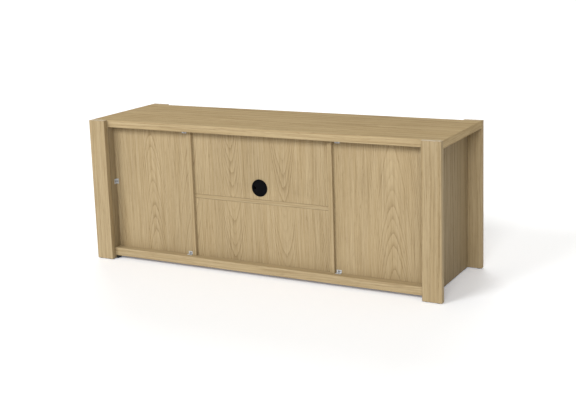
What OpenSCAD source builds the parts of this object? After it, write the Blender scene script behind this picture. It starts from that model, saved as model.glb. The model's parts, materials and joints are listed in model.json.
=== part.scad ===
// TV stand with doors: a low oak bench with two door bays, an open middle bay
// and four flat posts that stand proud of the carcass, front and back.
// Millimetres, +Z up, the front faces -Y, the origin is the footprint's centre.

/* [Overall] */
// overall width, over the posts
width = 1480; // [1200:10:1800]
// overall depth, over the posts
depth = 455; // [380:5:520]
// overall height, floor to top
height = 570; // [480:5:640]

/* [Posts] */
// width of each post board
post_w = 73; // [50:1:100]
// thickness of each post board
post_t = 22; // [16:1:30]
// height of the glide under each post
glide_h = 2; // [1:0.5:5]

/* [Carcass] */
// thickness of the top
top_t = 28; // [18:1:40]
// thickness of the bottom board
bottom_t = 32; // [18:1:40]
// clearance under the bottom board
bottom_z = 14; // [8:1:60]
// thickness of side panels, dividers and doors
board_t = 18; // [15:1:22]
// from the post's outer side to the divider's outer face
bay_end = 431; // [380:1:520]
// how far the divider's rear edge sits in from the posts' back
divider_in = 46; // [30:1:60]
// how far the back panels sit in from the posts' back
back_in = 58; // [40:1:80]
// thickness of the back panels
back_t = 8; // [3:1:12]
// eased edge on every board
ease = 0.8; // [0.3:0.1:2]

/* [Shelves] */
// thickness of the shelves
shelf_t = 15; // [12:1:25]
// underside of the fixed middle shelf
shelf_z = 278; // [200:1:350]
// underside of the loose shelves behind the doors
loose_z = 286; // [200:1:350]
// joint line above and below the middle shelf
seam = 0.6; // [0.5:0.1:2]
// radius of a shelf pin
shelf_pin_r = 2.5; // [2:0.5:3]
// spacing of the rows of pin holes
hole_pitch = 32; // [16:16:48]

/* [Doors] */
// gap at the door's hinge side
gap_hinge = 3; // [2.5:0.1:4]
// gap at the door's free side
gap_free = 2.5; // [2:0.1:4]
// gap above and below the door
gap_z = 3; // [2:0.1:5]
// how far the door face sits in from the carcass front
door_in = 2; // [0:0.5:6]
// knob's largest radius
knob_r = 14; // [8:1:20]
// knob's height off the door
knob_h = 21; // [12:1:22]

/* [Hinges] */
// from the door's edge to the hinge pin
cup_in = 22; // [21:0.5:24]
// from the door's rear face to the hinge pin
pin_deep = 7.5; // [6:0.5:9]
// outer radius of the hinge cup
cup_r = 17.5; // [13:0.5:17.5]
// depth of the hinge cup
cup_deep = 13; // [11:0.5:13.5]
// hinge centre from the door's top and bottom edge
hinge_end = 90; // [70:1:120]
// radius of the hinge pin
pin_r = 2; // [1.5:0.1:2.5]
// running clearance on the pin
pin_gap = 0.08; // [0.05:0.01:0.1]

/* [Back brackets] */
// width of a bracket along the board
bracket_w = 20; // [14:1:30]
// height of the plate on the back panel
bracket_h = 12; // [12:1:20]
// length of the leg on the next board
bracket_leg = 14; // [10:1:20]
// thickness of the stamped steel
bracket_t = 1.5; // [1:0.1:2]
// height of the brackets at the middle of the outer sides
bracket_mid_z = 315; // [200:1:400]
// from the side panel to the lower brackets
bracket_low_in = 344; // [300:1:350]
// from the side panel to the upper brackets
bracket_top_in = 340; // [300:1:350]

/* [Cable outlet] */
// height of the outlet's centre
outlet_z = 339; // [300:1:420]
// radius of the hole in the panel
outlet_r = 30; // [25:1:40]
// radius of the collar's flange
flange_r = 33; // [28:1:45]
// depth of the collar's tube
collar_deep = 26; // [12:1:30]

/* [Hidden] */
$fn = 48;
hw = width / 2;
hd = depth / 2;
cy = hd - post_t;             // carcass front and back faces
side_in = hw - post_w;        // inner face of the side panel
side_out = side_in + board_t; // outer face of the side panel
top_z = height - top_t;
floor_z = bottom_z + bottom_t;
div_out = hw - bay_end;
div_in = div_out - board_t;
div_y = hd - divider_in;
back_y = hd - back_in;        // rear face of the back panels
door_front = -cy + door_in;
door_rear = door_front + board_t;
door_edge = side_in - gap_hinge;
door_free = div_out + gap_free;
door_lo = floor_z + gap_z;
door_hi = top_z - gap_z;
pin_x = door_edge - cup_in;
pin_y = door_rear - pin_deep;
hinge_zs = [door_lo + hinge_end, door_hi - hinge_end];
knob_x = door_free + 34;
knob_z = (door_lo + door_hi) / 2 + 30;
pin_ys = [-120, 110];         // the two columns of shelf pins in each bay
pin_in = 8;                   // how far a shelf pin goes into the board
panel_gap = 3;                // clearance under the side panels
strike_t = 1.1;
catch_z = 500;
cup_screw = 24;               // cup screws, above and below the hinge centre
plate_screw = 19;             // plate screws, above and below the hinge centre
plate_hole = 7;              // bracket screw, up the plate
leg_hole = 8.5;               // bracket screw, along the leg

oak = [0.74, 0.62, 0.47];
oak_in = [0.70, 0.58, 0.44];
zinc = [0.78, 0.79, 0.80];
black = [0.08, 0.08, 0.09];

// A board between two corners, its twelve edges eased.
module board(a, b, e = ease) {
  hull() {
    translate(a + [0, e, e]) cube(b - a - [0, 2 * e, 2 * e]);
    translate(a + [e, 0, e]) cube(b - a - [2 * e, 0, 2 * e]);
    translate(a + [e, e, 0]) cube(b - a - [2 * e, 2 * e, 0]);
  }
}

// s = -1 is the left side seen from the front, s = 1 the right.
module side(s) { if (s < 0) mirror([1, 0, 0]) children(); else children(); }
module both() { for (s = [-1, 1]) side(s) children(); }

// A turned body along -Y, from a profile of [radius, distance].
module turned_front(p) { rotate([90, 0, 0]) rotate_extrude() polygon(p); }

// ---- posts ----
module post(s, f) {
  color(oak) side(s)
    translate([0, f < 0 ? -hd : cy, 0])
      board([side_in, 0, glide_h], [hw, post_t, height]);
}
module post_back_left() post(-1, 1);
module post_back_right() post(1, 1);
module post_front_left() post(-1, -1);
module post_front_right() post(1, -1);

// ---- carcass ----
module top_panel() color(oak) board([-hw, -cy, top_z], [hw, cy, height]);
module bottom_panel() color(oak)
  board([-side_in, -cy, bottom_z], [side_in, cy, floor_z]);
// Rows of holes for the shelf pins, in the board face that looks along dir.
module pin_holes(face_x, dir) {
  for (y = pin_ys, k = [-2 : 2])
    translate([face_x, y, loose_z - shelf_pin_r + k * hole_pitch]) rotate([0, 90, 0])
      translate([0, 0, dir > 0 ? -pin_in - 2 : -1]) cylinder(r = shelf_pin_r + 0.1, h = pin_in + 3);
}
module side_panel(s) color(oak) side(s) difference() {
  board([side_in, -cy, panel_gap], [side_out, cy, top_z]);
  pin_holes(side_in, -1);
}
module side_left() side_panel(-1);
module side_right() side_panel(1);
module divider(s) color(oak) side(s) difference() {
  board([div_in, -cy, floor_z], [div_out, div_y, top_z]);
  pin_holes(div_out, 1);
}
module divider_left() divider(-1);
module divider_right() divider(1);
module middle_shelf() color(oak)
  board([-div_in, -cy + 6, shelf_z], [div_in, back_y, shelf_z + shelf_t], 0.6);

// ---- back panels ----
module back_side(s) color(oak) side(s)
  board([div_out, back_y - back_t, floor_z], [side_in, back_y, top_z], 0.5);
module back_left() back_side(-1);
module back_right() back_side(1);
module back_middle_upper() color(oak) difference() {
  board([-div_in, back_y - back_t, shelf_z + shelf_t + seam], [div_in, back_y, top_z], 0.5);
  translate([0, back_y + 1, outlet_z]) rotate([90, 0, 0])
    cylinder(r = outlet_r, h = back_t + 2, $fn = 96);
}
module back_middle_lower() color(oak)
  board([-div_in, back_y - back_t, floor_z], [div_in, back_y, shelf_z - seam], 0.5);

// ---- loose shelves and their pins ----
module loose_shelf(s) color(oak_in) side(s)
  board([div_out + 1, -cy + 45, loose_z], [side_in - 1, back_y - back_t - 4, loose_z + shelf_t]);
module shelf_left() loose_shelf(-1);
module shelf_right() loose_shelf(1);
module shelf_pins() color(zinc) both()
  for (x = [div_out, side_in], y = pin_ys)
    translate([x - pin_in, y, loose_z - shelf_pin_r]) rotate([0, 90, 0])
      cylinder(r = shelf_pin_r, h = 2 * pin_in);

// ---- doors ----
module door(s) color(oak) side(s) difference() {
  board([door_free, door_front, door_lo], [door_edge, door_rear, door_hi], 1.2);
  for (z = hinge_zs) translate([pin_x, door_rear + 1, z]) rotate([90, 0, 0])
    cylinder(r = cup_r, h = cup_deep + 1, $fn = 64);
}
module door_left() door(-1);
module door_right() door(1);
module knob(s) color(black) side(s) translate([knob_x, door_front, knob_z])
  turned_front([[0, 0], [8, 0], [8, 1.5], [5.5, 4], [5.5, knob_h - 12], [knob_r - 3, knob_h - 8],
    [knob_r, knob_h - 5], [knob_r, knob_h - 1.5], [knob_r - 1.5, knob_h], [0, knob_h]]);
module knob_left() knob(-1);
module knob_right() knob(1);

// ---- cup hinges ----
// The cup is let into the door's rear face, and its flange takes two screws.
module hinge_cups(s) color(zinc) side(s) for (z = hinge_zs)
  translate([pin_x, door_rear, z]) rotate([90, 0, 0]) difference() {
    union() {
      cylinder(r = cup_r, h = cup_deep, $fn = 64);
      translate([0, 0, -1.2]) cylinder(r = cup_r + 1.5, h = 1.2, $fn = 64);
      for (d = [-1, 1]) translate([-7, d > 0 ? 0 : -29, -1.2]) cube([14, 29, 1.2]);
    }
    translate([0, 0, -2]) cylinder(r = cup_r - 2, h = cup_deep + 0.5, $fn = 64);
    for (d = [-cup_screw, cup_screw]) translate([0, d, -2]) cylinder(r = 1.8, h = 3);
  }
module hinge_cups_left() hinge_cups(-1);
module hinge_cups_right() hinge_cups(1);
module hinge_pins(s) color(zinc) side(s) for (z = hinge_zs)
  translate([pin_x, pin_y, z - 16.5]) cylinder(r = pin_r, h = 33);
module hinge_pins_left() hinge_pins(-1);
module hinge_pins_right() hinge_pins(1);
module cup_screws(s) color(zinc) side(s) for (z = hinge_zs, d = [-cup_screw, cup_screw])
  translate([pin_x, door_rear, z + d]) rotate([90, 0, 0]) {
    cylinder(r = 1.7, h = 11);
    translate([0, 0, -2.6]) cylinder(r1 = 2.2, r2 = 3.2, h = 1.4);
    translate([0, 0, -1.2]) cylinder(r = 1.7, h = 1.2);
  }
module cup_screws_left() cup_screws(-1);
module cup_screws_right() cup_screws(1);

// The gooseneck arm leaves the cup at 45 degrees and folds back to the side panel,
// so the door can turn past square round it.
module arm_outline() {
  difference() {
    union() {
      circle(r = 3.2);
      polygon([[1.1, -1.1], [27.2, 25], [9, 43.2], [-18.5, 51.5], [-18.5, 96], [-21.5, 96],
        [-21.5, 49.3], [7.6, 40.4], [23, 25], [-1.1, 1.1]]);
    }
    circle(r = pin_r + pin_gap);
  }
}
module hinge_arms() color(zinc) both() for (z = hinge_zs)
  translate([pin_x, pin_y, z - 6]) mirror([1, 0, 0]) linear_extrude(height = 12) arm_outline();
module hinge_plates() color(zinc) both() for (z = hinge_zs)
  translate([side_in - 3.5, pin_y + 46, z]) difference() {
    union() {
      translate([0, 0, -8]) cube([3.5, 58, 16]);
      translate([0, 28, -26]) cube([3.5, 16, 52]);
    }
    for (d = [-plate_screw, plate_screw])
      translate([-1, 36, d]) rotate([0, 90, 0]) cylinder(r = 1.9, h = 6);
  }
module plate_screws() color(zinc) both() for (z = hinge_zs, d = [-plate_screw, plate_screw])
  translate([side_in, pin_y + 82, z + d]) rotate([0, 90, 0]) {
    translate([0, 0, -4]) cylinder(r = 1.8, h = 15);
    translate([0, 0, -5.6]) cylinder(r1 = 2.4, r2 = 3.6, h = 2.1);
  }

// ---- catches ----
module catches() color(black) both()
  board([div_out, door_rear + strike_t + 0.5, catch_z], [div_out + 13, door_rear + 36, catch_z + 26], 1);
module strikes(s) color(zinc) side(s)
  translate([door_free + 1, door_rear, catch_z + 1]) cube([14, strike_t, 24]);
module strikes_left() strikes(-1);
module strikes_right() strikes(1);

// ---- back panel brackets: a plate on the panel and a leg on the next board ----
module bracket() {
  difference() {
    union() {
      translate([-bracket_w / 2, 0, 0]) cube([bracket_w, bracket_t, bracket_h]);
      translate([-bracket_w / 2, 0, 0]) cube([bracket_w, bracket_leg, bracket_t]);
    }
    translate([0, -1, plate_hole]) rotate([-90, 0, 0]) cylinder(r = 2.2, h = bracket_t + 2);
    translate([0, leg_hole, -1]) cylinder(r = 2.2, h = bracket_t + 2);
  }
}
module bracket_screw(grip) {
  translate([0, 0, -grip]) cylinder(r = 2.1, h = grip + bracket_t);
  translate([0, 0, bracket_t]) cylinder(r1 = 4, r2 = 2.6, h = 2.1);
}
module bracket_screw_pair() {
  translate([0, 0, plate_hole]) rotate([-90, 0, 0]) bracket_screw(back_t - 2.5);
  translate([0, leg_hole, 0]) bracket_screw(10);
}
module at_brackets() both() {
  translate([side_in, back_y, bracket_mid_z]) rotate([0, -90, 0]) children();
  translate([side_in - bracket_low_in, back_y, floor_z]) children();
  translate([side_in - bracket_top_in, back_y, top_z]) mirror([0, 0, 1]) children();
}
module back_brackets() color(zinc) at_brackets() bracket();
module bracket_screws() color([0.35, 0.35, 0.36]) at_brackets() bracket_screw_pair();

// ---- feet ----
module post_glides() color(black) both() for (y = [-hd + post_t / 2, hd - post_t / 2])
  for (x = [side_in + 14, hw - 14]) translate([x, y, 0]) cylinder(r = 8, h = glide_h);
module side_glides() color(black) both() for (y = [-cy + 6, cy - 30]) {
  translate([side_in - 8, y, 0]) cube([board_t + 6, 24, 3]);
  translate([side_in - 8, y, 0]) cube([8, 24, 11]);
}

// ---- cable outlet: a collar with a flange, and a cap with a notch for the leads ----
module cable_collar() color(black) translate([0, back_y + 2.4, outlet_z])
  rotate([90, 0, 0]) rotate_extrude($fn = 96)
    polygon([[27.5, 0.4], [28.2, 0], [flange_r - 1, 0], [flange_r, 1], [flange_r, 2.4],
      [outlet_r - 0.1, 2.4], [outlet_r - 0.1, collar_deep], [25.5, collar_deep],
      [25.5, 4.4], [27.5, 4.4]]);
module cable_cap() color(black) translate([0, back_y + 2.3, outlet_z]) difference() {
  rotate([90, 0, 0]) union() {
    rotate_extrude($fn = 96)
      polygon([[0, 0], [26.3, 0], [27.1, 0.8], [27.1, 3.6], [0, 3.6]]);
    difference() {
      cylinder(r = 25.1, h = 9, $fn = 96);
      translate([0, 0, 3]) cylinder(r = 23.4, h = 7, $fn = 96);
    }
  }
  translate([20, -12, 0]) rotate([-90, 0, 0]) cylinder(r = 6.5, h = 16);
  translate([20, -12, -6.5]) cube([12, 16, 13]);
}

// ---- dowels that join the carcass ----
module dowels() color(oak_in) {
  both() for (y = [-160, 0, 160]) {
    translate([side_in - 26, y, floor_z - 16]) rotate([0, 90, 0]) cylinder(r = 4, h = 38);
    translate([side_in + 9, y, top_z - 24]) cylinder(r = 4, h = 42);
  }
  both() for (y = [-150, 140]) {
    translate([div_in + 9, y, top_z - 24]) cylinder(r = 4, h = 42);
    translate([div_in + 9, y, floor_z - 18]) cylinder(r = 4, h = 42);
    translate([div_in - 24, y, shelf_z + shelf_t / 2]) rotate([0, 90, 0]) cylinder(r = 3, h = 36);
  }
  both() for (z = [90, 300, 500], y = [-cy, cy - 24])
    translate([side_in + 9, y < 0 ? -cy - 14 : y, z]) rotate([-90, 0, 0]) cylinder(r = 4, h = 38);
}

post_back_left();
post_back_right();
post_front_left();
post_front_right();
top_panel();
bottom_panel();
side_left();
side_right();
divider_left();
divider_right();
middle_shelf();
back_left();
back_right();
back_middle_upper();
back_middle_lower();
shelf_left();
shelf_right();
shelf_pins();
door_left();
door_right();
knob_left();
knob_right();
hinge_cups_left();
hinge_cups_right();
hinge_pins_left();
hinge_pins_right();
cup_screws_left();
cup_screws_right();
hinge_arms();
hinge_plates();
plate_screws();
catches();
strikes_left();
strikes_right();
back_brackets();
bracket_screws();
post_glides();
side_glides();
cable_collar();
cable_cap();
dowels();
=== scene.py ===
"""TV stand with doors: oak boards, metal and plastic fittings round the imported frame."""
import json
import math

import bmesh
import bpy
from mathutils import Matrix, Vector


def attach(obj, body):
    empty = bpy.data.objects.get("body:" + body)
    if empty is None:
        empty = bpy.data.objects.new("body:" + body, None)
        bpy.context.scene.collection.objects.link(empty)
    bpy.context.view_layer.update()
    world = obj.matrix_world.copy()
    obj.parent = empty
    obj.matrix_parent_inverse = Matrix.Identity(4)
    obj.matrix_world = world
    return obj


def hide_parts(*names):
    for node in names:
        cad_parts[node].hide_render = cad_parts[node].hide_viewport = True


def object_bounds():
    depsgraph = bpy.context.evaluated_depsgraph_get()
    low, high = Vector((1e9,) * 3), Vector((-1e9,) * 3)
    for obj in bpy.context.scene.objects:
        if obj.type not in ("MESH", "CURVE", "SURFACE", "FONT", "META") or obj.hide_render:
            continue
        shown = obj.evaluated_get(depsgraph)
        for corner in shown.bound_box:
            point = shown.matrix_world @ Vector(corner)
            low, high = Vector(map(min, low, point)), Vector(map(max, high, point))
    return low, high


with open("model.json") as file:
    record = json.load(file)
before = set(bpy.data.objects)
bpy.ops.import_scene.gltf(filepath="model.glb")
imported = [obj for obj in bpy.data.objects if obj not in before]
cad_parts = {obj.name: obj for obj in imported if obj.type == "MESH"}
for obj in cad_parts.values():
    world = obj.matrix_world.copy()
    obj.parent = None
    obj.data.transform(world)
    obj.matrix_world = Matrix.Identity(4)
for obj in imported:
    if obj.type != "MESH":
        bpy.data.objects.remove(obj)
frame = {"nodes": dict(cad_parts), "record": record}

cad_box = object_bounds()
nodes = frame["nodes"]
CENTRE = (Vector(cad_box[0]) + Vector(cad_box[1])) / 2


# ---------------------------------------------------------------- camera, floor and light

def make_camera():
    """Looks at the stand's back from its right rear, a little from above."""
    data = bpy.data.cameras.new("photo_camera")
    data.sensor_width = 36.0
    data.lens = 67.0
    data.shift_y = -0.1
    data.clip_end = 200.0
    camera = bpy.data.objects.new("photo_camera", data)
    bpy.context.scene.collection.objects.link(camera)
    heading, down, roll = (math.radians(a) for a in (208.52, 10.89, -1.95))
    turn = (Matrix.Rotation(heading, 4, "Z") @ Matrix.Rotation(math.pi / 2 - down, 4, "X")
            @ Matrix.Rotation(roll, 4, "Z"))
    camera.matrix_world = Matrix.Translation((-1.969, 3.559, 1.248)) @ turn
    bpy.context.scene.camera = camera


def make_floor():
    """A wide pale disc, just under the glides. It glows a little, so that it reads as white."""
    radius, gap = 60.0, 0.0005
    mesh = bpy.data.meshes.new("floor")
    work = bmesh.new()
    bmesh.ops.create_circle(work, cap_ends=True, segments=96, radius=radius)
    work.to_mesh(mesh)
    work.free()
    floor = bpy.data.objects.new("floor", mesh)
    bpy.context.scene.collection.objects.link(floor)
    floor.location.z = -gap
    paint = bpy.data.materials.new("floor_paint")
    paint.use_nodes = True
    shader = paint.node_tree.nodes["Principled BSDF"]
    shader.inputs["Base Color"].default_value = (0.97, 0.97, 0.97, 1)
    shader.inputs["Roughness"].default_value = 0.9
    shader.inputs["Specular IOR Level"].default_value = 0.1
    shader.inputs["Emission Color"].default_value = (0.6, 0.7, 1.0, 1)
    shader.inputs["Emission Strength"].default_value = 0.12
    mesh.materials.append(paint)


def soft_sun(name, towards, strength, spread):
    """Daylight from a large soft box far away in the direction given, spread in degrees."""
    data = bpy.data.lights.new(name, "SUN")
    data.energy = strength
    data.color = (0.96, 0.98, 1.0)
    data.angle = math.radians(spread)
    light = bpy.data.objects.new(name, data)
    bpy.context.scene.collection.objects.link(light)
    light.rotation_euler = Vector(towards).to_track_quat("Z", "Y").to_euler()


def make_light():
    """Two soft boxes light the back, one the front, over a dim warm room."""
    world = bpy.data.worlds.new("studio")
    bpy.context.scene.world = world
    world.use_nodes = True
    sky = world.node_tree.nodes["Background"]
    sky.inputs["Color"].default_value = (1.0, 0.93, 0.78, 1)
    sky.inputs["Strength"].default_value = 0.40
    soft_sun("key", (0.50, 1.0, 0.70), 1.54, 22)
    soft_sun("rear_fill", (-0.32, 1.0, 0.65), 1.6, 28)
    soft_sun("overhead", (0.1, -0.25, 1.0), 0.10, 60)
    soft_sun("front", (0.5, -1.0, 0.45), 1.9, 45)
    bpy.context.scene.view_settings.view_transform = "Standard"


# ---------------------------------------------------------------- shader helpers

class Graph:
    """A short way to add nodes and link them."""

    def __init__(self, tree):
        self.tree = tree

    def add(self, kind, values=(), **settings):
        node = self.tree.nodes.new(kind)
        for key, value in settings.items():
            setattr(node, key, value)
        for key, value in dict(values).items():
            self.put(node.inputs[key], value)
        return node

    def put(self, socket, value):
        if isinstance(value, bpy.types.NodeSocket):
            self.tree.links.new(value, socket)
        else:
            socket.default_value = value

    def math(self, operation, *values):
        node = self.tree.nodes.new("ShaderNodeMath")
        node.operation = operation
        for socket, value in zip(node.inputs, values):
            self.put(socket, value)
        return node.outputs[0]

    def join(self, x, y, z):
        return self.add("ShaderNodeCombineXYZ", {"X": x, "Y": y, "Z": z}).outputs[0]

    def split(self, vector):
        return self.add("ShaderNodeSeparateXYZ", {"Vector": vector}).outputs

    def noise(self, vector, w=0.0, scale=1.0, detail=2.0, roughness=0.5):
        node = self.add("ShaderNodeTexNoise", {"Vector": vector, "W": w, "Scale": scale,
                        "Detail": detail, "Roughness": roughness}, noise_dimensions="4D")
        return node.outputs[0]

    def fade(self, value, low, high, to_low=0.0, to_high=1.0, kind="SMOOTHSTEP"):
        node = self.add("ShaderNodeMapRange", {"Value": value, "From Min": low, "From Max": high,
                        "To Min": to_low, "To Max": to_high}, interpolation_type=kind)
        return node.outputs[0]

    def mix(self, amount, a, b, blend="MIX"):
        node = self.tree.nodes.new("ShaderNodeMix")
        node.data_type = "RGBA"
        node.blend_type = blend
        self.put(node.inputs[0], amount)
        self.put(node.inputs[6], a)
        self.put(node.inputs[7], b)
        return node.outputs[2]


def new_material(name):
    material = bpy.data.materials.new(name)
    material.use_nodes = True
    shader = material.node_tree.nodes["Principled BSDF"]
    return material, Graph(material.node_tree), shader


def make_oak_group():
    """Plain-sawn oak veneer. Vector is (across, deep, along) in metres. The growth rings lie
    round a heart that wanders and tilts, so their cut shows as cathedral arches."""
    group = bpy.data.node_groups.new("oak_veneer", "ShaderNodeTree")
    face = group.interface
    face.new_socket("Vector", in_out="INPUT", socket_type="NodeSocketVector")
    for name in ("Seed", "Leaf", "Shift", "Rise", "Depth", "Ring", "Mark", "Painted Light"):
        face.new_socket(name, in_out="INPUT", socket_type="NodeSocketFloat")
    face.new_socket("Color", in_out="OUTPUT", socket_type="NodeSocketColor")
    for name in ("Rough", "Height"):
        face.new_socket(name, in_out="OUTPUT", socket_type="NodeSocketFloat")
    g = Graph(group)
    start = g.add("NodeGroupInput").outputs
    across, deep, along = g.split(start["Vector"])
    seed, leaf = start["Seed"], start["Leaf"]

    # the veneer leaf this point lies on, and the place across that leaf
    turns = g.math("DIVIDE", g.math("ADD", across, start["Shift"]), leaf)
    number = g.math("FLOOR", turns)
    key = g.math("ADD", g.math("MULTIPLY", number, 7.31), seed)
    local = g.math("MULTIPLY", g.math("SUBTRACT", g.math("SUBTRACT", turns, number), 0.5), leaf)
    chance = g.add("ShaderNodeTexWhiteNoise", {"W": key}, noise_dimensions="1D")
    pick = g.split(chance.outputs["Color"])

    # the heart's wander, the ripple in the rings, and how deep the heart lies under the face
    slow = g.join(g.math("MULTIPLY", local, 3.0), 0.0, g.math("MULTIPLY", along, 1.3))
    sway = g.math("SUBTRACT", g.noise(slow, key, 1.0, 1.0), 0.5)
    dip = g.math("SUBTRACT", g.noise(slow, g.math("ADD", key, 40.0), 1.3, 1.0), 0.5)
    ripple_place = g.join(g.math("MULTIPLY", local, 45.0), 0.0, g.math("MULTIPLY", along, 13.0))
    ripple = g.math("SUBTRACT", g.noise(ripple_place, g.math("ADD", key, 80.0), 1.0, 2.0), 0.5)
    heart = g.math("MULTIPLY", g.math("SUBTRACT", pick[0], 0.5), g.math("MULTIPLY", leaf, 0.15))
    sideways = g.math("ADD", g.math("SUBTRACT", local, heart), g.math("MULTIPLY", sway, 0.05))
    sideways = g.math("MULTIPLY_ADD", ripple, 0.0018, sideways)
    flatten = 1.3
    sideways = g.math("MULTIPLY", sideways, flatten)
    slope = g.math("MULTIPLY", along, start["Rise"])
    below = g.math("ADD", g.math("ADD", start["Depth"], slope), g.math("MULTIPLY", dip, 0.010))
    below = g.math("ADD", g.math("ADD", below, deep), g.math("MULTIPLY", ripple, 0.0018))
    # a power under 2 makes the rings, and so the arches, a little pointed
    power = 1.65
    radius = g.math("ADD", g.math("POWER", g.math("ABSOLUTE", sideways), power),
                    g.math("POWER", g.math("ABSOLUTE", below), power))
    radius = g.math("POWER", radius, 1.0 / power)

    # the rings: each has a soft dark edge of early wood, and some are stronger than others
    jag_place = g.join(g.math("MULTIPLY", local, 160.0), 0.0, g.math("MULTIPLY", along, 26.0))
    jag = g.math("SUBTRACT", g.noise(jag_place, g.math("ADD", key, 20.0), 1.0, 2.0), 0.5)
    jag_size = 0.45
    rings = g.math("MULTIPLY_ADD", jag, jag_size, g.math("DIVIDE", radius, start["Ring"]))
    ring = g.math("FLOOR", rings)
    phase = g.math("SUBTRACT", rings, ring)
    vigour = g.add("ShaderNodeTexWhiteNoise", {"W": g.math("ADD", ring, key)},
                   noise_dimensions="1D").outputs["Value"]
    early = g.math("POWER", g.math("SUBTRACT", 1.0, phase), 2.6)
    early = g.math("MULTIPLY", early, g.fade(phase, 0.0, 0.10))
    early = g.math("MULTIPLY", early, g.fade(vigour, 0.0, 1.0, 0.25, 1.0))
    early = g.math("MULTIPLY", early, start["Mark"])

    # fibre streaks, fine fibres and pores, all drawn out along the grain: the first two numbers
    # are how many fit in a metre across and along
    def drawn(wide, long, w, detail=2.0, rough=0.5):
        place = g.join(g.math("MULTIPLY", g.math("MULTIPLY_ADD", sway, 0.02, across), wide),
                       g.math("MULTIPLY", deep, wide), g.math("MULTIPLY", along, long))
        return g.noise(place, g.math("ADD", seed, w), 1.0, detail, rough)
    streak = drawn(95.0, 1.8, 3.0, 3.0, 0.6)
    line = g.fade(drawn(300.0, 4.5, 6.0, 2.0, 0.55), 0.50, 0.66)
    fleck = g.fade(drawn(420.0, 34.0, 12.0, 1.0), 0.58, 0.72)
    fibre = drawn(600.0, 14.0, 9.0, 2.0, 0.6)
    pore = g.fade(drawn(1500.0, 55.0, 15.0, 1.0), 0.60, 0.72)
    pore = g.math("MULTIPLY", pore, g.math("MULTIPLY_ADD", early, 0.8, 0.25))
    cloud = g.noise(g.join(g.math("MULTIPLY", across, 5.0), 0.0, g.math("MULTIPLY", along, 2.0)),
                    seed, 1.0, 2.0)

    pale, tan = (0.408, 0.318, 0.190, 1), (0.350, 0.263, 0.145, 1)
    brown, pit = (0.142, 0.088, 0.035, 1), (0.17, 0.10, 0.045, 1)
    color = g.mix(g.fade(streak, 0.30, 0.70), pale, tan)
    color = g.mix(g.math("MULTIPLY", line, 0.30), color, brown)
    color = g.mix(g.math("MULTIPLY", fleck, g.math("MULTIPLY_ADD", early, 0.5, 0.14)), color, brown)
    color = g.mix(g.math("MULTIPLY", early, 0.46), color, brown)
    color = g.mix(g.math("MULTIPLY", g.fade(fibre, 0.45, 0.75), 0.28), color, brown)
    color = g.mix(g.math("MULTIPLY", pore, 0.55), color, pit)
    light = g.math("ADD", g.fade(cloud, 0.3, 0.7, 0.955, 1.04, "LINEAR"),
                   g.math("MULTIPLY", g.math("SUBTRACT", pick[2], 0.5), 0.05))
    # painted light and shade: the last input scales the whole colour, above 1 painting light on,
    # below 1 painting shade
    light = g.math("MULTIPLY", light, start["Painted Light"])
    color = g.mix(1.0, color, g.join(light, light, light), "MULTIPLY")
    height = g.math("MULTIPLY_ADD", early, -0.35, g.math("MULTIPLY", fibre, 0.3))
    height = g.math("MULTIPLY_ADD", pore, -0.8, height)
    rough = g.fade(g.math("ADD", early, fibre), 0.2, 1.4, 0.55, 0.72)
    end = g.add("NodeGroupOutput")
    g.put(end.inputs["Color"], color)
    g.put(end.inputs["Rough"], rough)
    g.put(end.inputs["Height"], height)
    return group


def oak(name, axes, seed, leaf=0.30, shift=0.0, rise=0.09, depth=0.034, ring=0.0045,
        mark=1.0, gloss=0.12, painted_light=1.0):
    """An oak veneer for one board. axes names the board's across, deep and along axes, and
    an end face gets an edge band whose grain runs across the board. leaf is a veneer leaf's
    width and shift moves the leaves sideways. rise is the heart's slope, and a negative one
    turns the arches upside down. depth is the heart's depth and ring a growth ring's width.
    The last argument scales the whole colour: above 1 it paints light on the board, below 1
    it paints shade."""
    material, g, shader = new_material(name)
    source = g.add("ShaderNodeTexCoord").outputs
    place, normal = g.split(source["Object"]), g.split(source["Normal"])
    a, d, v = (place["XYZ".index(c)] for c in axes)
    v = g.math("SUBTRACT", v, CENTRE["XYZ".index(axes[2])])
    end_on = g.math("GREATER_THAN", g.math("ABSOLUTE", normal["XYZ".index(axes[2])]), 0.6)
    board = g.join(a, d, v)
    band = g.join(d, v, a)
    which = g.add("ShaderNodeMix", data_type="VECTOR")
    g.put(which.inputs[0], end_on)
    g.put(which.inputs[4], board)
    g.put(which.inputs[5], band)
    node = g.add("ShaderNodeGroup", node_tree=OAK)
    for key, value in (("Vector", which.outputs[1]), ("Seed", seed), ("Leaf", leaf),
                       ("Shift", shift), ("Rise", rise), ("Depth", depth), ("Ring", ring),
                       ("Mark", mark), ("Painted Light", painted_light)):
        g.put(node.inputs[key], value)
    g.put(shader.inputs["Base Color"], node.outputs["Color"])
    g.put(shader.inputs["Roughness"], node.outputs["Rough"])
    bump = g.add("ShaderNodeBump", {"Strength": 0.35, "Distance": 0.0004,
                                    "Height": node.outputs["Height"]})
    g.put(shader.inputs["Normal"], bump.outputs[0])
    shader.inputs["Specular IOR Level"].default_value = gloss
    return material


def plastic(name, color, rough, shine=0.4):
    """Moulded plastic with a fine spark-eroded grain and faint handling marks."""
    material, g, shader = new_material(name)
    place = g.add("ShaderNodeTexCoord").outputs["Object"]
    fine = g.noise(place, 0.0, 900.0, 3.0, 0.6)
    smear = g.noise(place, 5.0, 60.0, 3.0, 0.55)
    lighter = tuple(min(1.0, c * 1.8 + 0.001) for c in color)
    g.put(shader.inputs["Base Color"], g.mix(g.fade(smear, 0.4, 0.8), (*color, 1), (*lighter, 1)))
    g.put(shader.inputs["Roughness"], g.fade(smear, 0.3, 0.7, rough - 0.07, rough + 0.08))
    bump = g.add("ShaderNodeBump", {"Strength": 0.25, "Distance": 0.0002, "Height": fine})
    g.put(shader.inputs["Normal"], bump.outputs[0])
    shader.inputs["Specular IOR Level"].default_value = shine
    return material


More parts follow.
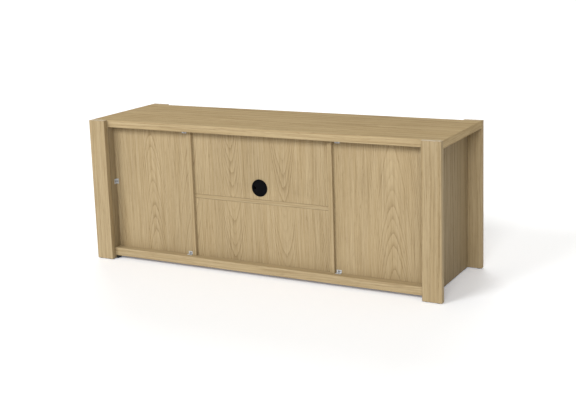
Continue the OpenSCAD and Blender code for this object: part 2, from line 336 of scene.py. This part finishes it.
def metal(name, color, rough, metallic=1.0):
    """Plated steel: spangle, and fine lines drawn out along Z."""
    streaks = (400.0, 400.0, 40.0)
    material, g, shader = new_material(name)
    x, y, z = g.split(g.add("ShaderNodeTexCoord").outputs["Object"])
    drawn = g.join(*(g.math("MULTIPLY", c, s) for c, s in zip((x, y, z), streaks)))
    line = g.noise(drawn, 0.0, 1.0, 2.0)
    spangle = g.noise(g.join(x, y, z), 3.0, 260.0, 2.0)
    darker = tuple(c * 0.72 for c in color)
    g.put(shader.inputs["Base Color"], g.mix(g.fade(spangle, 0.35, 0.7), (*color, 1), (*darker, 1)))
    g.put(shader.inputs["Roughness"], g.fade(line, 0.3, 0.7, rough - 0.06, rough + 0.10))
    bump = g.add("ShaderNodeBump", {"Strength": 0.2, "Distance": 0.0001, "Height": line})
    g.put(shader.inputs["Normal"], bump.outputs[0])
    shader.inputs["Metallic"].default_value = metallic
    return material


# ---------------------------------------------------------------- the scene

make_camera()
make_floor()
make_light()
OAK = make_oak_group()

STRAIGHT = dict(leaf=0.5, shift=0.13, rise=0.02, ring=0.012)
BOARDS = {
    "post_back_left": oak("oak_post_back_left", "XYZ", 11.0, depth=0.10, **STRAIGHT),
    "post_back_right": oak("oak_post_back_right", "XYZ", 12.0, depth=0.12, **STRAIGHT),
    "post_front_left": oak("oak_post_front_left", "XYZ", 13.0, depth=0.09, **STRAIGHT),
    "post_front_right": oak("oak_post_front_right", "XYZ", 14.0, depth=0.11, **STRAIGHT),
    # painted light: the top's veneer is painted 9 % lighter, as light falls on it from above
    "top_panel": oak("oak_top", "YZX", 21.0, leaf=0.21, shift=0.10, rise=0.02, depth=0.05,
                     ring=0.012, mark=0.9, gloss=0.0, painted_light=1.09),
    "bottom_panel": oak("oak_bottom", "YZX", 22.0, leaf=0.24, shift=0.05, rise=0.03, depth=0.08,
                        ring=0.006, mark=0.8),
    # painted shade: the end panels' veneer is painted 23 % darker, as they sit recessed in shade
    "side_left": oak("oak_side_left", "YXZ", 31.0, depth=0.10, painted_light=0.77, **STRAIGHT),
    "side_right": oak("oak_side_right", "YXZ", 32.0, depth=0.11, painted_light=0.77, **STRAIGHT),
    "divider_left": oak("oak_divider_left", "YXZ", 33.0),
    "divider_right": oak("oak_divider_right", "YXZ", 34.0),
    "middle_shelf": oak("oak_middle_shelf", "YZX", 35.0),
    "back_left": oak("oak_back_left", "XYZ", 41.0, leaf=0.36, shift=0.02, mark=1.15),
    "back_right": oak("oak_back_right", "XYZ", 42.0, leaf=0.19, shift=-0.023, mark=1.15),
    "back_middle_upper": oak("oak_back_middle", "XYZ", 43.0, leaf=0.21, shift=0.001, rise=-0.09,
                             mark=1.15),
    "door_left": oak("oak_door_left", "XYZ", 51.0),
    "door_right": oak("oak_door_right", "XYZ", 52.0),
    "shelf_left": oak("oak_shelf_left", "YZX", 53.0),
    "shelf_right": oak("oak_shelf_right", "YZX", 54.0),
    "dowels": oak("beech_dowel", "YZX", 61.0),
}
BOARDS["back_middle_lower"] = BOARDS["back_middle_upper"]

black = plastic("black_plastic", (0.012, 0.012, 0.014), 0.48)
outlet_black = plastic("outlet_plastic", (0.002, 0.002, 0.0028), 0.75, shine=0.05)
glide_black = plastic("glide_plastic", (0.010, 0.010, 0.010), 0.6)
zinc = metal("zinc_plate", (0.58, 0.59, 0.60), 0.5, metallic=0.5)
nickel = metal("nickel_plate", (0.66, 0.65, 0.62), 0.26)
screw_steel = metal("screw_steel", (0.40, 0.40, 0.41), 0.36)
FITTINGS = {
    "knob_left": black, "knob_right": black, "catches": black,
    "cable_collar": outlet_black, "cable_cap": outlet_black,
    "post_glides": glide_black, "side_glides": glide_black,
    "back_brackets": zinc, "shelf_pins": zinc, "hinge_plates": nickel, "hinge_arms": nickel,
    "hinge_cups_left": nickel, "hinge_cups_right": nickel,
    "hinge_pins_left": screw_steel, "hinge_pins_right": screw_steel,
    "strikes_left": zinc, "strikes_right": zinc, "plate_screws": screw_steel,
    "cup_screws_left": screw_steel, "cup_screws_right": screw_steel,
    "bracket_screws": screw_steel,
}


# ---------------------------------------------------------------- pieces made from the frame

body_of = {n: b for b, group in frame["record"]["behaviour"]["bodies"].items() for n in group}
SMOOTH = math.radians(32)    # edges sharper than this stay sharp
MERGE = 1e-6                 # points closer than this are one point


def clean_copy(name):
    """The node's mesh with its doubled points merged and its flat faces whole."""
    work = bmesh.new()
    work.from_mesh(nodes[name].data)
    bmesh.ops.remove_doubles(work, verts=work.verts, dist=MERGE)
    bmesh.ops.dissolve_limit(work, angle_limit=math.radians(0.5), verts=work.verts,
                             edges=work.edges)
    return work


def show(work, name, material):
    """Turns a bmesh into the piece that stands for the node, shaded smooth up to its edges."""
    for face in work.faces:
        face.smooth = True
    for edge in work.edges:
        edge.smooth = len(edge.link_faces) == 2 and edge.calc_face_angle(0.0) < SMOOTH
    mesh = bpy.data.meshes.new(name + "_piece")
    work.to_mesh(mesh)
    work.free()
    mesh.materials.append(material)
    thing = bpy.data.objects.new(mesh.name, mesh)
    bpy.context.scene.collection.objects.link(thing)
    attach(thing, body_of[name])
    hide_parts(name)
    return thing


def soften(name, material, width, segments=2):
    """The node with its sharp edges worn round, as sanding, moulding or stamping leaves them."""
    work = clean_copy(name)
    sharp = [e for e in work.edges if len(e.link_faces) == 2 and e.calc_face_angle(0.0) > SMOOTH]
    bmesh.ops.bevel(work, geom=sharp, offset=width, segments=segments, profile=0.5,
                    affect="EDGES", clamp_overlap=True)
    bmesh.ops.remove_doubles(work, verts=work.verts, dist=MERGE)
    return show(work, name, material)


def solids(name):
    """Lowest and highest corner of each separate solid in a node, and its points."""
    work = bmesh.new()
    work.from_mesh(nodes[name].data)
    bmesh.ops.remove_doubles(work, verts=work.verts, dist=MERGE)
    left, found = set(work.verts), []
    while left:
        reach, group = [left.pop()], []
        while reach:
            point = reach.pop()
            group.append(point.co.copy())
            for edge in point.link_edges:
                other = edge.other_vert(point)
                if other in left:
                    left.remove(other)
                    reach.append(other)
        low = Vector(min(p[k] for p in group) for k in range(3))
        high = Vector(max(p[k] for p in group) for k in range(3))
        found.append((low, high, group))
    work.free()
    return sorted(found, key=lambda f: tuple(round(c, 4) for c in f[0]))


def lathe(work, outline, place, turn, steps=32):
    """Turns an outline of (radius, height) about its axis. The first and last points close it."""
    rings = []
    for radius, height in outline:
        if radius == 0:
            rings.append([work.verts.new(place + turn @ Vector((0, 0, height)))] * steps)
            continue
        rings.append([work.verts.new(place + turn @ Vector((
            radius * math.cos(2 * math.pi * k / steps), radius * math.sin(2 * math.pi * k / steps),
            height))) for k in range(steps)])
    for lower, upper in zip(rings, rings[1:]):
        for k in range(steps):
            corners = []
            for point in (lower[k], lower[(k + 1) % steps], upper[(k + 1) % steps], upper[k]):
                if point not in corners:
                    corners.append(point)
            work.faces.new(corners)


def cross_cut(work, place, turn, size, depth):
    """The tapered cross of a screwdriver recess, as a solid to be cut away."""
    for spin in (0.0, math.pi / 2):
        turned = turn @ Matrix.Rotation(spin, 3, "Z")
        corners = []
        for z, half in ((depth, size), (-depth, size * 0.45)):
            thick = size * (0.20 if z > 0 else 0.13)
            for x, y in ((-half, -thick), (half, -thick), (half, thick), (-half, thick)):
                corners.append(work.verts.new(place + turned @ Vector((x, y, z))))
        for face in ((3, 2, 1, 0), (4, 5, 6, 7), (0, 1, 5, 4), (1, 2, 6, 5), (2, 3, 7, 6),
                     (3, 0, 4, 7)):
            work.faces.new([corners[k] for k in face][::-1])


# a domed screw head: share of its radius, and metres below its top
DOME = ((0, 0), (0.55, 0.0001), (0.82, 0.0004), (0.97, 0.0010), (1, 0.0014), (0.97, 0.0017))


def screws(name, material):
    """Cross-headed screws in place of the node's plain ones: same axis, same head, same length.
    Each is turned a little further than the last, as screws end up when they are driven."""
    first_turn, next_turn = 0.35, 1.1
    recess_size, recess_depth = 0.56, 0.0012
    body, cuts = bmesh.new(), bmesh.new()
    for number, (low, high, points) in enumerate(solids(name)):
        span = high - low
        axis = max(range(3), key=lambda k: min(abs(span[k] - span[j]) for j in range(3) if j != k))
        centre = (low + high) / 2
        side = Vector((0, 0, 0))
        side[axis] = 1.0

        def spread(p):
            flat = p - centre
            flat[axis] = 0
            return flat.length
        head_r = max(spread(p) for p in points)
        widest = max(points, key=spread)
        towards = 1.0 if widest[axis] > centre[axis] else -1.0
        top = high[axis] if towards > 0 else low[axis]
        place = centre.copy()
        place[axis] = top
        turn = (side * towards).to_track_quat("Z", "Y").to_matrix()
        turn = turn @ Matrix.Rotation(first_turn + next_turn * number, 3, "Z")
        length = span[axis]
        shank = 0.48 * head_r
        outline = [(head_r * share, -down) for share, down in DOME]
        outline += [(shank, -0.0022), (shank, -length * 0.85), (0, -length)]
        lathe(body, outline, place, turn)
        cross_cut(cuts, place, turn, head_r * recess_size, recess_depth)
    bmesh.ops.recalc_face_normals(body, faces=body.faces)
    bmesh.ops.recalc_face_normals(cuts, faces=cuts.faces)
    thing = show(body, name, material)
    cut_mesh = bpy.data.meshes.new("cuts")
    cuts.to_mesh(cut_mesh)
    cuts.free()
    cutter = bpy.data.objects.new("cuts", cut_mesh)
    bpy.context.scene.collection.objects.link(cutter)
    recess = thing.modifiers.new("recess", "BOOLEAN")
    recess.operation, recess.object, recess.solver = "DIFFERENCE", cutter, "EXACT"
    recess.use_self = True
    graph = bpy.context.evaluated_depsgraph_get()
    made = bpy.data.meshes.new_from_object(thing.evaluated_get(graph))
    thing.modifiers.clear()
    thing.data = made
    bpy.data.objects.remove(cutter)
    return thing


# how far the edges are worn round, in metres
WORN_BOARD, WORN_FITTING = 0.0005, 0.0003
WORN = {"catches": 0.0004, "back_brackets": 0.0004, "hinge_plates": 0.0004, "side_glides": 0.0008}
SCREWS = ("bracket_screws", "plate_screws", "cup_screws_left", "cup_screws_right")
AS_MADE = ("dowels", "post_glides", "hinge_pins_left", "hinge_pins_right")
for name, thing in nodes.items():
    material = BOARDS.get(name) or FITTINGS[name]
    for place in thing.material_slots:
        place.material = material
    if name in SCREWS:
        screws(name, material)
    elif name not in AS_MADE:
        soften(name, material, WORN.get(name, WORN_BOARD if name in BOARDS else WORN_FITTING))
